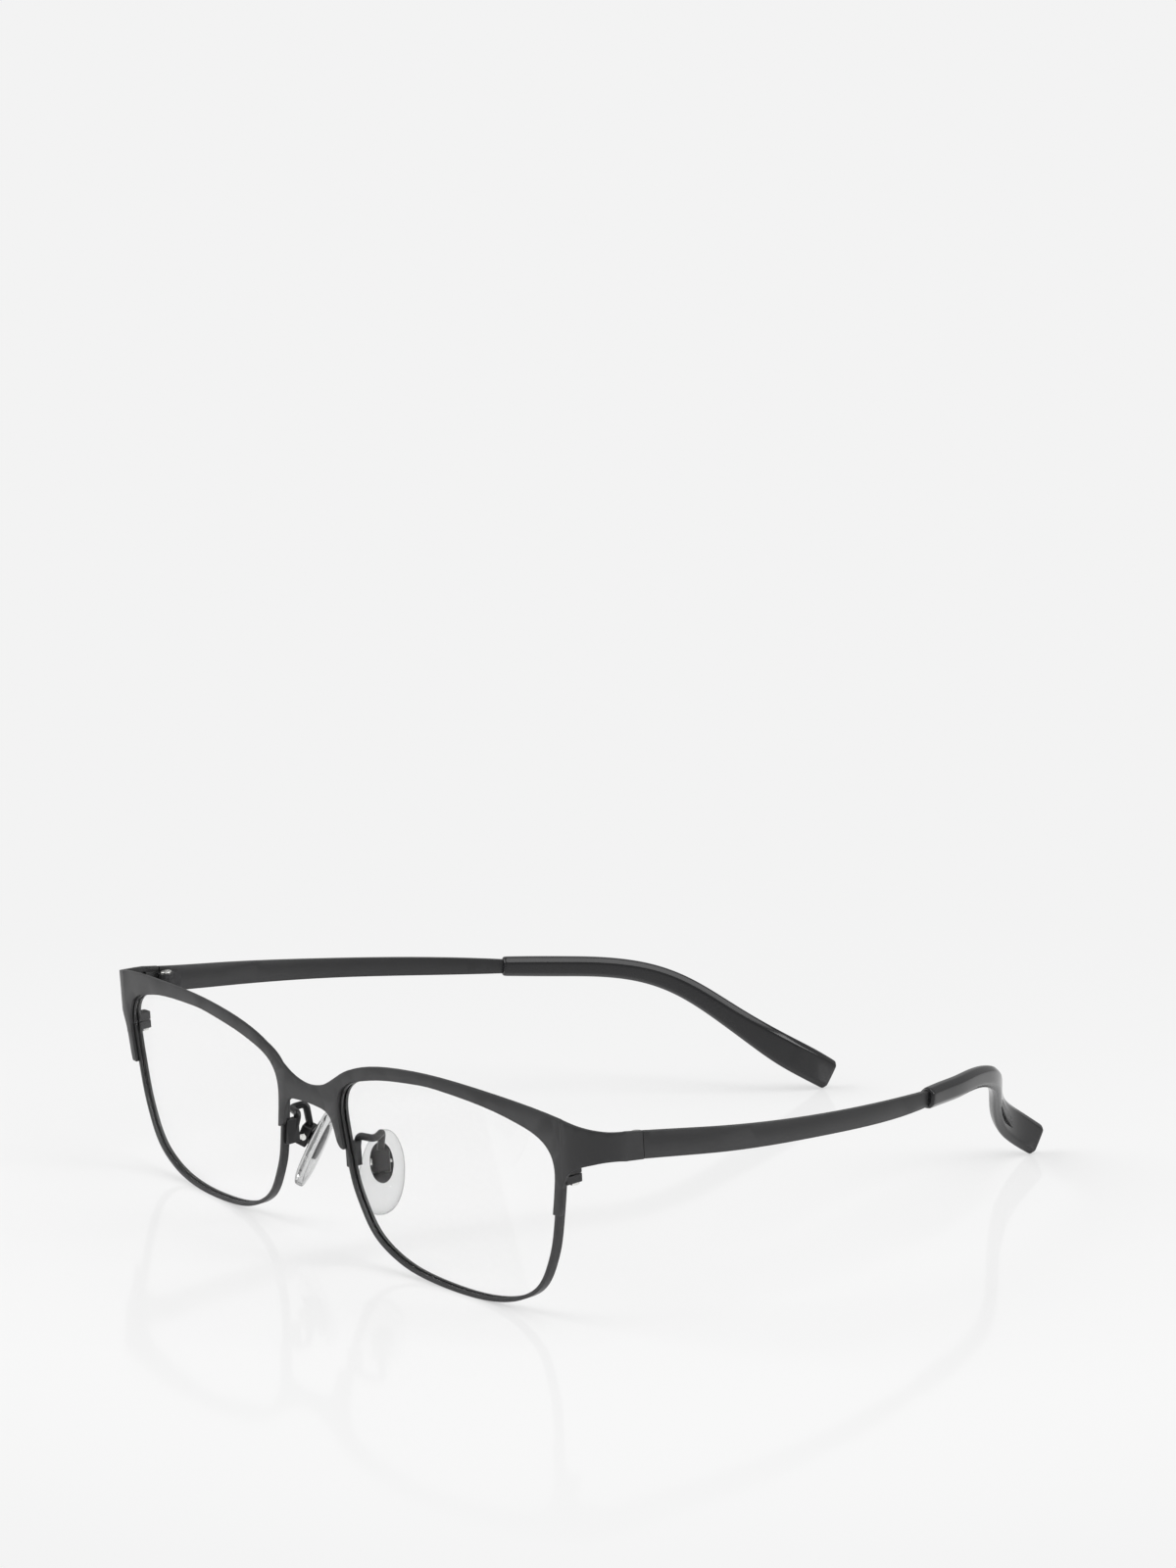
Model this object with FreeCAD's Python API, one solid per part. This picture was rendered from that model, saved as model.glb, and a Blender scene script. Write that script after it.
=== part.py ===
import FreeCAD, Part
import math
import os

from FreeCAD import Vector

# Eyeglass frame standing on a table: the lower rims and the rear ends of the ear
# tips touch the table. Millimetres. The pieces are drawn in the frame of the front:
# X to the wearer's left, Y back towards the ears from the foremost point of the
# front, Z up from the middle height of the lenses. At the end everything is tilted
# about X so that it rests on the table, with the origin below the middle.

# Driving sizes of the whole frame
lens_width = 54.0
lens_height = 35.0
bridge_width = 17.0
temple_length = 142.0
front_curve_radius = 390.0
front_sweep_radius = 900.0
end_piece_reach = 8.35
end_piece_length = 10.15
hinge_height = 12.1

# Brow sheet
sheet_thickness = 0.7
sheet_reveal = 0.25
corner_radius = 8.3
seam_gap = 0.12

# Eyewire and lens
rim_wall = 0.28
rim_depth = 1.45
groove_depth = 0.38
groove_width = 0.5
lens_thickness = 1.1
lens_clearance = 0.04
rim_slit = 0.25

# Rim lock behind the brow sheet
lock_width = 2.2
lock_depth = 3.6
lock_height = 2.9
lock_level = 7.85
lock_screw_radius = 0.55
lock_head_radius = 0.9
lock_head_height = 0.55
slot_width = 0.25
slot_depth = 0.2
lock_screw_share = 0.85
lock_rounding = 0.43
head_rounding_share = 0.4

# Hinge
hinge_set_back = 0.5
knuckle_radius = 1.4
knuckle_height = 0.95
knuckle_gap = 0.05
leaf_thickness = 0.6
leaf_length = 2.1
hinge_screw_radius = 0.5
hinge_head_radius = 1.0
hinge_head_height = 0.25
running_clearance = 0.05

# Temple strip and ear tip
temple_thickness = 0.9
temple_front_height = 4.6
tip_height = 5.9
tip_thickness = 2.9

# Nose pad and its arm
pad_length = 14.5
pad_width = 8.0
pad_thickness = 2.2
pad_rounding = 0.88
pad_pivot_spread = 22.1
pad_pivot_back = 6.7
pad_pivot_drop = 1.65
pad_tilt_out = 22.0
pad_lean_back = 14.0
pad_splay = 36.0
insert_length = 7.0
insert_width = 4.0
insert_thickness = 0.5
tab_thickness = 0.7
tab_radius = 0.6
box_length = 3.7
box_width = 3.0
box_depth = 1.9
box_gap = 0.4
box_floor = 0.25
box_wall = 0.6
box_rounding = 0.2
arm_radius = 0.5
arm_bend_radius = 0.8
foot_length = 4.1
foot_width = 1.0
foot_depth = 1.5
foot_rise = 0.35
foot_overlap = 0.2
pad_screw_radius = 0.3
pad_head_radius = 0.6
pad_head_height = 0.35

# Outline of the lens as shares of its half width and half height: from the middle of
# the top edge down the temple side to the middle of the bottom edge, and the points
# between those two down the nose side
LENS_TEMPLE_SHARES = (
    (0.0, 0.9999), (0.308, 0.9732), (0.56, 0.9237), (0.737, 0.8643), (0.872, 0.7911),
    (0.962, 0.6733), (0.996, 0.5148), (0.988, 0.3267), (0.971, 0.1633), (0.952, 0.0098),
    (0.904, -0.307), (0.86, -0.4772), (0.808, -0.6288), (0.735, -0.7574), (0.639, -0.8495),
    (0.535, -0.9148), (0.427, -0.9574), (0.317, -0.9831), (0.207, -0.9961), (0.096, -1.0),
    (0.0, -0.9975),
)
LENS_NOSE_SHARES = (
    (0.308, 0.9732), (0.56, 0.9237), (0.737, 0.8643), (0.872, 0.7911), (0.962, 0.6733),
    (0.996, 0.5148), (0.988, 0.3267), (0.971, 0.1633), (0.953, 0.0098), (0.908, -0.2792),
    (0.861, -0.4317), (0.807, -0.5772), (0.74, -0.701), (0.653, -0.7951), (0.554, -0.8663),
    (0.451, -0.9188), (0.343, -0.9535), (0.234, -0.9743), (0.124, -0.9881),
)

# Upper edge of the brow sheet, across as shares of the way to the corner bend, up as
# shares of half the lens height
BROW_TOP_SHARES = (
    (0.0, 0.6324), (0.0392, 0.6482), (0.0784, 0.6906), (0.1284, 0.7882), (0.1731, 0.8848),
    (0.2199, 0.9548), (0.2852, 1.0173), (0.4071, 1.0804), (0.5311, 1.1066), (0.6563, 1.1026),
    (0.7815, 1.0804), (0.9067, 1.0425), (1.0, 0.9963),
)
# Outer side edge of the sheet from the corner bend down to its end
BROW_SIDE_SHARES = ((1.0, 0.3429), (0.9953, 0.2611), (0.9883, 0.1286), (0.982, 0.0617))
# Nasal side edge of the sheet up to the underside of the bridge
BROW_NOSE_SHARES = (
    (0.1485, 0.0952), (0.1344, 0.11), (0.1256, 0.148), (0.1183, 0.2188), (0.1117, 0.2943),
    (0.1044, 0.3545), (0.0925, 0.4028), (0.0762, 0.4304), (0.0501, 0.4442), (0.0, 0.452),
)
# Upper and lower edge of the sheet as shares of half the lens height: at even steps
# round the corner bend, and at the rear end of the straight end piece behind it
BEND_SHARES = (
    (0.9963, 0.3429), (0.9816, 0.48), (0.9646, 0.5336), (0.9469, 0.5631), (0.93, 0.5809),
    (0.9144, 0.5935), (0.9, 0.6034), (0.8865, 0.6061), (0.8757, 0.6029), (0.867, 0.594),
    (0.86, 0.5823),
)
END_SHARES = (0.8256, 0.557)

# Wire of the pad arm from its foot to the pad box: outward, back and up from the
# pivot as shares of the pad length
ARM_ROUTE_SHARES = ((-0.148, -0.193, 0.327), (0.1, -0.131, 0.327), (0.017, 0.034, 0.361))

# Outline of the nose pad from its pivot: back as shares of its width, up as shares
# of its length
PAD_SHARES = (
    (-0.11, 0.395), (-0.31, 0.335), (-0.435, 0.125), (-0.435, -0.095), (-0.375, -0.315),
    (-0.225, -0.495), (0.01, -0.585), (0.28, -0.565), (0.455, -0.44), (0.495, -0.2),
    (0.415, 0.035), (0.265, 0.23), (0.1, 0.355),
)

# Middle line of the temple from the hinge: back, outward and up as shares of the
# temple length, and the height of the strip as a share of its front height
STRIP_STATION_SHARES = (
    (0.0, 0.0, 0.0, 1.0), (0.1109, 0.0055, -0.0189, 0.93), (0.2637, -0.0079, -0.0428, 0.79),
    (0.4645, -0.065, -0.0742, 0.62), (0.556, -0.1064, -0.0876, 0.41),
    (0.6173, -0.1369, -0.0985, 0.404), (0.6785, -0.1738, -0.1213, 0.404),
    (0.7391, -0.2328, -0.1742, 0.404), (0.7961, -0.2777, -0.2285, 0.404),
)
# Sections of the ear tip: the same three shares, then height and thickness as
# shares of those of the tip
TIP_STATION_SHARES = (
    (0.4852, -0.0735, -0.0774, 0.42, 0.5), (0.4907, -0.0759, -0.0782, 0.59, 0.86),
    (0.5002, -0.0802, -0.0794, 0.62, 1.0), (0.556, -0.1064, -0.0873, 0.61, 1.0),
    (0.6173, -0.1369, -0.0982, 0.61, 1.0), (0.6785, -0.1738, -0.1211, 0.71, 1.0),
    (0.7391, -0.2328, -0.1742, 0.86, 1.0), (0.7961, -0.2777, -0.2285, 0.955, 1.0),
    (0.84, -0.2931, -0.2594, 1.0, 1.0), (0.8494, -0.2943, -0.2658, 0.96, 0.82),
    (0.8514, -0.2945, -0.2671, 0.86, 0.5),
)
TIP_ROUNDNESS = 2.8
SECTION_POINTS = 24
OVAL_POINTS = 12

# Worked out from the sizes above
front_up = Vector(0, 0, 1)
lens_centre_x = (bridge_width + lens_width) / 2
half_height = lens_height / 2
frame_half_width = lens_centre_x + lens_width / 2 + end_piece_reach
overrun = lens_height
bend_x = frame_half_width - corner_radius
corner_x = bend_x * front_curve_radius / (front_curve_radius - corner_radius)


def front_back(x, depth=0.0):
    """How far back the front lies at x, measured a depth behind its outer face."""
    inner = front_curve_radius - depth
    return front_curve_radius - math.sqrt(inner * inner - x * x)


seam_back = front_back(frame_half_width) + end_piece_length
bend_back = front_back(bend_x, corner_radius)
hinge_x = frame_half_width - temple_thickness - knuckle_radius - running_clearance
hinge_back = seam_back + hinge_set_back


def spline(points, start=None, end=None):
    """Edge along a smooth curve through the points."""
    curve = Part.BSplineCurve()
    if start is None:
        curve.interpolate(points)
    else:
        curve.interpolate(Points=points, InitialTangent=start, FinalTangent=end)
    return curve.toShape()


def loop(points):
    """Closed smooth edge through the points."""
    curve = Part.BSplineCurve()
    curve.interpolate(Points=points, PeriodicFlag=True)
    return curve


def line(a, b):
    return Part.makeLine(a, b)


def prism(edges, direction):
    """Solid made by pushing the closed outline along the direction."""
    face = Part.Face(Part.Wire(Part.__sortEdges__(edges)))
    return face.extrude(direction)


def fused(shapes):
    """The shapes joined into one clean solid."""
    whole = shapes[0]
    for shape in shapes[1:]:
        whole = whole.fuse(shape)
    return whole.removeSplitter()


def mirrored(shape):
    return shape.mirror(Vector(0, 0, 0), Vector(1, 0, 0))


def block(x0, x1, y0, y1, z0, z1):
    """Box between the given faces."""
    return Part.makeBox(x1 - x0, y1 - y0, z1 - z0, Vector(x0, y0, z0))


def lens_loop():
    """Edge line of the left lens, in the plane Y = 0."""
    shares = list(LENS_TEMPLE_SHARES) + [(-u, w) for u, w in reversed(LENS_NOSE_SHARES)]
    return loop([Vector(lens_centre_x + u * lens_width / 2, 0, w * half_height) for u, w in shares])


def lens_prism(outset):
    """The lens outline moved outwards by outset and pushed through along Y."""
    base = lens_loop()
    first, last = base.FirstParameter, base.LastParameter
    count = 2 * len(LENS_TEMPLE_SHARES + LENS_NOSE_SHARES)
    points = []
    for i in range(count):
        at = first + (last - first) * i / count
        tangent = base.tangent(at)[0]
        out = tangent.cross(Vector(0, 1, 0))
        out.normalize()
        if out.dot(base.value(at) - Vector(lens_centre_x, 0, 0)) < 0:
            out = out * -1
        points.append(base.value(at) + out * outset + Vector(0, -overrun, 0))
    return prism([loop(points).toShape()], Vector(0, 3 * overrun, 0))


def front_layer(near, far):
    """Layer of the front between two depths, curved across and a little up and down."""
    x = frame_half_width
    arcs = [Part.Arc(Vector(-x, front_back(x, depth), 0), Vector(0, depth, 0),
                     Vector(x, front_back(x, depth), 0)).toShape() for depth in (near, far)]
    ends = [line(Vector(s * x, front_back(x, near), 0), Vector(s * x, front_back(x, far), 0))
            for s in (-1, 1)]
    face = Part.Face(Part.Wire(Part.__sortEdges__(arcs + ends)))
    half_turn = math.degrees(2 * overrun / front_sweep_radius)
    centre = Vector(0, front_sweep_radius, 0)
    face.rotate(centre, Vector(1, 0, 0), -half_turn)
    layer = face.revolve(centre, Vector(1, 0, 0), 2 * half_turn)
    layer.translate(Vector(0, 0, hinge_height))
    return layer


def cross_section(outer, inner, upper, lower):
    """Upright section of the sheet between its outer and inner face."""
    corners = [Vector(p.x, p.y, share * half_height)
               for p, share in ((outer, lower), (inner, lower), (inner, upper), (outer, upper))]
    return Part.makePolygon(corners + corners[:1])


def bend_start():
    """Turn of the front where the left corner bend begins."""
    return math.asin(corner_x / front_curve_radius)


def past_bend_start():
    """Everything outward of the radial plane in which the left bend begins."""
    space = block(0, overrun, -overrun, overrun, -overrun, overrun)
    space.rotate(Vector(0, 0, 0), front_up, math.degrees(bend_start()))
    space.translate(Vector(bend_x, bend_back, 0))
    return space


def end_piece():
    """Sheet that bends back at the left corner and runs on straight to the seam."""
    start = bend_start()
    centre = Vector(bend_x, bend_back, 0)
    inner_radius = corner_radius - sheet_thickness
    sections = []
    for i, shares in enumerate(BEND_SHARES):
        angle = start + (math.pi / 2 - start) * i / (len(BEND_SHARES) - 1)
        out = Vector(math.sin(angle), -math.cos(angle), 0)
        sections.append(cross_section(centre + out * corner_radius, centre + out * inner_radius, *shares))
    bend = Part.makeLoft(sections, True, False)
    ends = []
    for back, shares in ((bend_back, BEND_SHARES[-1]), (seam_back, END_SHARES)):
        outer = Vector(frame_half_width, back, 0)
        ends.append(cross_section(outer, outer - Vector(sheet_thickness, 0, 0), *shares))
    return bend, Part.makeLoft(ends, True, True)


def front_points(shares, sign=1):
    """Outline points of the brow sheet in the plane Y = 0."""
    return [Vector(sign * u * corner_x, 0, w * half_height) for u, w in shares]


def brow_front():
    """Thin sheet: bridge, brow bars, side bars and the end pieces bent back."""
    across = front_points(BROW_TOP_SHARES[:0:-1], -1) + front_points(BROW_TOP_SHARES)
    under = front_points(BROW_NOSE_SHARES) + front_points(BROW_NOSE_SHARES[-2::-1], -1)
    left = front_points(BROW_SIDE_SHARES)
    right = front_points(BROW_SIDE_SHARES, -1)
    outline = [
        spline(across), line(across[-1], left[0]), spline(left), line(left[-1], under[0]),
        spline(under), line(under[-1], right[-1]), spline(right), line(right[0], across[0]),
    ]
    front = prism(outline, Vector(0, 2 * overrun, 0))
    front.translate(Vector(0, -overrun, 0))
    front = front.common(front_layer(0, sheet_thickness))
    opening = lens_prism(sheet_reveal - groove_depth)
    front = front.cut(opening).cut(mirrored(opening))
    beyond = past_bend_start()
    front = front.cut(beyond).cut(mirrored(beyond))
    bend, end = end_piece()
    return fused([front, bend, end, mirrored(bend), mirrored(end)])


def lock_start():
    """Nasal side of the rim lock: the inner edge of the rim at the lock's height."""
    upper, lower = max(p for p in zip(LENS_TEMPLE_SHARES, LENS_TEMPLE_SHARES[1:])
                       if p[0][1] * half_height >= lock_level >= p[1][1] * half_height)
    part = (lock_level - lower[1] * half_height) / ((upper[1] - lower[1]) * half_height)
    share = lower[0] + part * (upper[0] - lower[0])
    return lens_centre_x + share * lens_width / 2 - groove_depth + running_clearance


def eyewire():
    """Grooved rim of the left lens, slit beside the rim lock."""
    near = sheet_thickness
    middle = near + rim_depth / 2
    ring = lens_prism(rim_wall).cut(lens_prism(-groove_depth))
    ring = ring.common(front_layer(near, near + rim_depth))
    groove = lens_prism(lens_clearance)
    groove = groove.common(front_layer(middle - groove_width / 2, middle + groove_width / 2))
    ring = ring.cut(groove)
    slit = block(lens_centre_x, frame_half_width, 0, seam_back,
                 lock_level - rim_slit / 2, lock_level + rim_slit / 2)
    return ring.cut(slit)


def lens():
    """Clear lens with a tongue round its edge that sits in the groove of the rim."""
    middle = sheet_thickness + rim_depth / 2
    body = lens_prism(-groove_depth - lens_clearance)
    body = body.common(front_layer(middle - lens_thickness / 2, middle + lens_thickness / 2))
    half_tongue = groove_width / 2 - lens_clearance
    tongue = lens_prism(0).common(front_layer(middle - half_tongue, middle + half_tongue))
    return fused([body, tongue])


def rim_lock(sign):
    """Upper (sign 1) or lower (sign -1) block that closes the rim, with its bore."""
    x0 = lock_start()
    y0 = front_back(x0)
    y1 = front_back(x0, sheet_thickness) + lock_depth
    near = lock_level + sign * rim_slit / 2
    far = lock_level + sign * lock_height / 2
    body = block(x0, x0 + lock_width, y0, y1, min(near, far), max(near, far))
    rear = [e for e in body.Edges if abs(e.CenterOfMass.y - y1) < running_clearance
            and abs(e.CenterOfMass.z - (near + far) / 2) < running_clearance]
    body = body.makeFillet(lock_rounding, rear)
    body = body.cut(front_layer(-sheet_thickness, sheet_thickness))
    ring = lens_prism(rim_wall).common(front_layer(sheet_thickness, sheet_thickness + rim_depth))
    return body.cut(ring).cut(lock_bore(running_clearance))


def lock_axis():
    x0 = lock_start()
    back = front_back(x0, sheet_thickness) + (rim_depth + lock_depth) / 2
    return Vector(x0 + lock_width / 2, back, lock_level)


def lock_bore(clearance):
    axis = lock_axis()
    radius = lock_screw_radius + clearance
    bottom = axis - front_up * (lock_height / 2 + lock_head_height)
    return Part.makeCylinder(radius, lock_head_height + lock_height * lock_screw_share, bottom)


def slot(centre, width, radius, direction, across):
    """Screwdriver slot cut into a head whose face centre is given."""
    tool = Part.makeBox(4 * radius, width, 2 * slot_depth, Vector(-2 * radius, -width / 2, -slot_depth))
    frame = FreeCAD.Rotation(across, direction.cross(across), direction, "XZY")
    tool.Placement = FreeCAD.Placement(centre, frame)
    return tool


def lock_screw():
    """Screw from below through both blocks of the rim lock."""
    axis = lock_axis()
    under = axis - front_up * (lock_height / 2)
    head = Part.makeCylinder(lock_head_radius, lock_head_height, under - front_up * lock_head_height)
    lower = [e for e in head.Edges if e.CenterOfMass.z < under.z - lock_head_height / 2]
    head = head.makeFillet(lock_head_height * head_rounding_share, lower[:1])
    screw = fused([head, lock_bore(0)])
    return screw.cut(slot(under - front_up * lock_head_height, slot_width, lock_head_radius,
                          front_up * -1, Vector(0, 1, 0)))


def knuckle(index):
    """One barrel of the hinge; index -1, 0, 1 counts upwards."""
    bottom = hinge_height + (index - 0.5) * knuckle_height + knuckle_gap / 2
    return Part.makeCylinder(knuckle_radius, knuckle_height - knuckle_gap, Vector(hinge_x, hinge_back, bottom))


def hinge_bore(clearance):
    bottom = hinge_height - 1.5 * knuckle_height
    return Part.makeCylinder(hinge_screw_radius + clearance, 3 * knuckle_height,
                             Vector(hinge_x, hinge_back, bottom))


def hinge_leaf(side, indices, wall_x):
    """Leaf on the front (side -1) or on the temple (side 1) with its barrels."""
    free = knuckle_radius + 2 * running_clearance
    half = 1.5 * knuckle_height
    slope = STRIP_STATION_SHARES[1][2] / STRIP_STATION_SHARES[1][0]
    near = side * free
    far = side * (free + leaf_length)
    start = Vector(wall_x - leaf_thickness, hinge_back, hinge_height)
    corners = [start + Vector(0, back, back * slope + sign * half)
               for back, sign in ((near, -1), (near, 1), (far, 1), (far, -1))]
    edges = [line(a, b) for a, b in zip(corners, corners[1:] + corners[:1])]
    pieces = [prism(edges, Vector(leaf_thickness, 0, 0))]
    y0 = hinge_back + near
    y1 = seam_back if side < 0 else hinge_back
    for index in indices:
        barrel = knuckle(index)
        low, high = barrel.BoundBox.ZMin, barrel.BoundBox.ZMax
        web = block(wall_x - leaf_thickness, wall_x, min(y0, y1), max(y0, y1), low, high)
        root = block(hinge_x, wall_x, min(y0, y1), max(y0, y1), low, high)
        pieces += [barrel, web, root.common(grown(barrel))]
    return fused(pieces).cut(hinge_bore(running_clearance))


def grown(barrel):
    """The barrel a little wider, so that its root meets the leaf."""
    box = barrel.BoundBox
    return Part.makeCylinder(knuckle_radius + running_clearance, box.ZLength,
                             Vector(hinge_x, hinge_back, box.ZMin))


def hinge_screw():
    """Hinge pin with a slotted head on top."""
    top = Vector(hinge_x, hinge_back, hinge_height + 1.5 * knuckle_height)
    head = Part.makeCylinder(hinge_head_radius, hinge_head_height, top)
    upper = [e for e in head.Edges if e.CenterOfMass.z > top.z + hinge_head_height / 2]
    head = head.makeFillet(hinge_head_height * head_rounding_share, upper[:1])
    screw = fused([head, hinge_bore(0)])
    return screw.cut(slot(top + front_up * hinge_head_height, slot_width, hinge_head_radius,
                          front_up, Vector(0, 1, 0)))


def route_point(back, out, up):
    """Point of the temple's middle line from its shares of the temple length."""
    start = Vector(frame_half_width - temple_thickness / 2, seam_back, hinge_height)
    return start + Vector(out, back, up) * temple_length


def temple():
    """Flat metal strip, tall at the hinge and tapering, with a core for the tip."""
    middle = [route_point(*row[:3]) for row in STRIP_STATION_SHARES]
    plan = Part.BSplineCurve()
    flat = [Vector(p.x, p.y, 0) for p in middle]
    plan.interpolate(Points=flat, InitialTangent=Vector(0, 1, 0), FinalTangent=flat[-1] - flat[-2])
    sides = []
    for sign in (-1, 1):
        row = []
        for point in flat:
            tangent = plan.tangent(plan.parameter(point))[0]
            row.append(point + Vector(tangent.y, -tangent.x, 0) * (sign * temple_thickness / 2))
        row[0] = Vector(flat[0].x + sign * temple_thickness / 2, flat[0].y, 0)
        sides.append(spline(row, Vector(0, 1, 0), row[-1] - row[-2]))
    ends = [line(sides[0].firstVertex().Point, sides[1].firstVertex().Point),
            line(sides[0].lastVertex().Point, sides[1].lastVertex().Point)]
    slab = prism(sides + ends, Vector(0, 0, 4 * overrun))
    slab.translate(Vector(0, 0, -2 * overrun))
    edges = []
    for sign in (-1, 1):
        edges.append([Vector(0, p.y, p.z + sign * row[3] * temple_front_height / 2)
                      for p, row in zip(middle, STRIP_STATION_SHARES)])
    outline = [spline(edges[0]), spline(edges[1]), line(edges[0][0], edges[1][0]),
               line(edges[0][-1], edges[1][-1])]
    strip = slab.common(prism(outline, Vector(2 * frame_half_width, 0, 0)))
    gap = block(0, 2 * frame_half_width, 0, seam_back + seam_gap, -overrun, overrun)
    return strip.cut(gap)


def tip_section(centre, tangent, height, thickness):
    """Closed rounded outline square to the tangent."""
    side = Vector(tangent.y, -tangent.x, 0)
    side.normalize()
    up = side.cross(tangent)
    up.normalize()
    if up.z < 0:
        up = up * -1
    points = []
    for i in range(SECTION_POINTS):
        angle = 2 * math.pi * i / SECTION_POINTS
        c, s = math.cos(angle), math.sin(angle)
        u = math.copysign(abs(c) ** (2 / TIP_ROUNDNESS), c) * thickness / 2
        w = math.copysign(abs(s) ** (2 / TIP_ROUNDNESS), s) * height / 2
        points.append(centre + side * u + up * w)
    return Part.Wire([loop(points).toShape()])


def temple_tip(strip):
    """Plastic ear tip over the rear of the strip, bent down and inwards."""
    middle = [route_point(*row[:3]) for row in TIP_STATION_SHARES]
    curve = Part.BSplineCurve()
    curve.interpolate(middle)
    sections = []
    for point, row in zip(middle, TIP_STATION_SHARES):
        tangent = curve.tangent(curve.parameter(point))[0]
        sections.append(tip_section(point, tangent, row[3] * tip_height, row[4] * tip_thickness))
    return Part.makeLoft(sections, True, False).cut(strip)


def pad_frame():
    """Place of the left pad: X back along its width, Y towards the nose, Z up it."""
    out = math.radians(pad_tilt_out)
    lean = math.radians(pad_lean_back)
    up = Vector(-math.sin(out), math.sin(lean), math.cos(out) * math.cos(lean))
    up.normalize()
    splay = math.radians(pad_splay)
    towards = Vector(-math.cos(splay), math.sin(splay), 0)
    towards = towards - up * towards.dot(up)
    towards.normalize()
    along = towards.cross(up)
    if along.y < 0:
        along = along * -1
    return along, towards, up


def pad_point(along, towards, up):
    """Point given from the left pad's pivot in the pad's own directions."""
    a, t, u = pad_frame()
    pivot = Vector(pad_pivot_spread / 2, pad_pivot_back, -pad_pivot_drop)
    return pivot + a * along + t * towards + u * up


def pad_solid(outline, y0, y1):
    """Solid from an outline of (along, up) points between two depths towards the nose."""
    points = [pad_point(u, y0, w) for u, w in outline]
    push = pad_frame()[1] * (y1 - y0)
    return prism([loop(points).toShape()], push)


def pad_face():
    """Distance from the pivot to the outer face of the pad."""
    return box_depth / 2 + box_gap


def nose_pad(core):
    """Soft clear pad moulded round its insert, straighter at the front edge."""
    outline = [(u * pad_width, w * pad_length) for u, w in PAD_SHARES]
    pad = pad_solid(outline, pad_face(), pad_face() + pad_thickness)
    pad = pad.makeFillet(pad_rounding, pad.Edges)
    return pad.cut(core)


def pad_insert():
    """Metal oval in the pad with a bored tab that hangs in the pad box."""
    outline = [(math.cos(a) * insert_width / 2, math.sin(a) * insert_length / 2)
               for a in (2 * math.pi * i / OVAL_POINTS for i in range(OVAL_POINTS))]
    plate = pad_solid(outline, pad_face(), pad_face() + insert_thickness)
    tab = pad_block(-tab_thickness / 2, tab_thickness / 2, 0, pad_face(), -tab_radius, tab_radius)
    end = Part.makeCylinder(tab_radius, tab_thickness, pad_point(-tab_thickness / 2, 0, 0), pad_frame()[0])
    return fused([plate, tab, end]).cut(pad_pin(running_clearance, 0))


def pad_block(x0, x1, y0, y1, z0, z1):
    """Box in the pad's own directions."""
    a, t, u = pad_frame()
    box = block(x0, x1, y0, y1, z0, z1)
    matrix = FreeCAD.Matrix(a.x, t.x, u.x, 0, a.y, t.y, u.y, 0, a.z, t.z, u.z, 0, 0, 0, 0, 1)
    if matrix.determinant() < 0:
        box = block(-x1, -x0, y0, y1, z0, z1)
        matrix = FreeCAD.Matrix(-a.x, t.x, u.x, 0, -a.y, t.y, u.y, 0, -a.z, t.z, u.z, 0, 0, 0, 0, 1)
    box.Placement = FreeCAD.Placement(matrix)
    box.translate(pad_point(0, 0, 0))
    return box


def pad_pin(clearance, margin):
    """The pad screw's shank along the pad's width, through the box."""
    start = pad_point(-box_width / 2 - margin, 0, 0)
    return Part.makeCylinder(pad_screw_radius + clearance, box_width + 2 * margin, start, pad_frame()[0])


def pad_box():
    """Small channel on the end of the arm that holds the tab of the pad."""
    half = box_depth / 2
    body = pad_block(-box_width / 2, box_width / 2, -half, half, -box_length / 2, box_length / 2)
    body = body.makeFillet(box_rounding, body.Edges)
    gap = tab_thickness / 2 + 2 * running_clearance
    channel = pad_block(-gap, gap, box_floor - half, box_depth, -box_length, box_length / 2 - box_wall)
    return body.cut(channel).cut(pad_pin(running_clearance, box_wall))


def pad_screw():
    """Cross pin of the pad box, with its slotted head to the front."""
    a = pad_frame()[0]
    shank = pad_pin(0, pad_head_height)
    face = pad_point(-box_width / 2, 0, 0)
    head = Part.makeCylinder(pad_head_radius, pad_head_height, face, a * -1)
    return fused([head, shank]).cut(slot(face - a * pad_head_height, slot_width, pad_head_radius,
                                         a * -1, pad_frame()[2]))


def rounded_path(points, radius):
    """Wire along the points with an arc at each inner one."""
    edges = []
    at = points[0]
    for before, corner, after in zip(points, points[1:], points[2:]):
        back = before - corner
        ahead = after - corner
        half = back.getAngle(ahead) / 2
        back.normalize()
        ahead.normalize()
        cut = radius / math.tan(half)
        start = corner + back * cut
        end = corner + ahead * cut
        inward = back + ahead
        inward.normalize()
        middle = corner + inward * (radius / math.sin(half) - radius)
        edges.append(line(at, start))
        edges.append(Part.Arc(start, middle, end).toShape())
        at = end
    edges.append(line(at, points[-1]))
    return Part.Wire(edges)


def tube(points, radius, bend):
    """Round wire along a path with rounded bends."""
    path = rounded_path(points, bend)
    heading = points[1] - points[0]
    section = Part.Wire([Part.makeCircle(radius, points[0], heading)])
    return path.makePipeShell([section], True, False)


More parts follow.
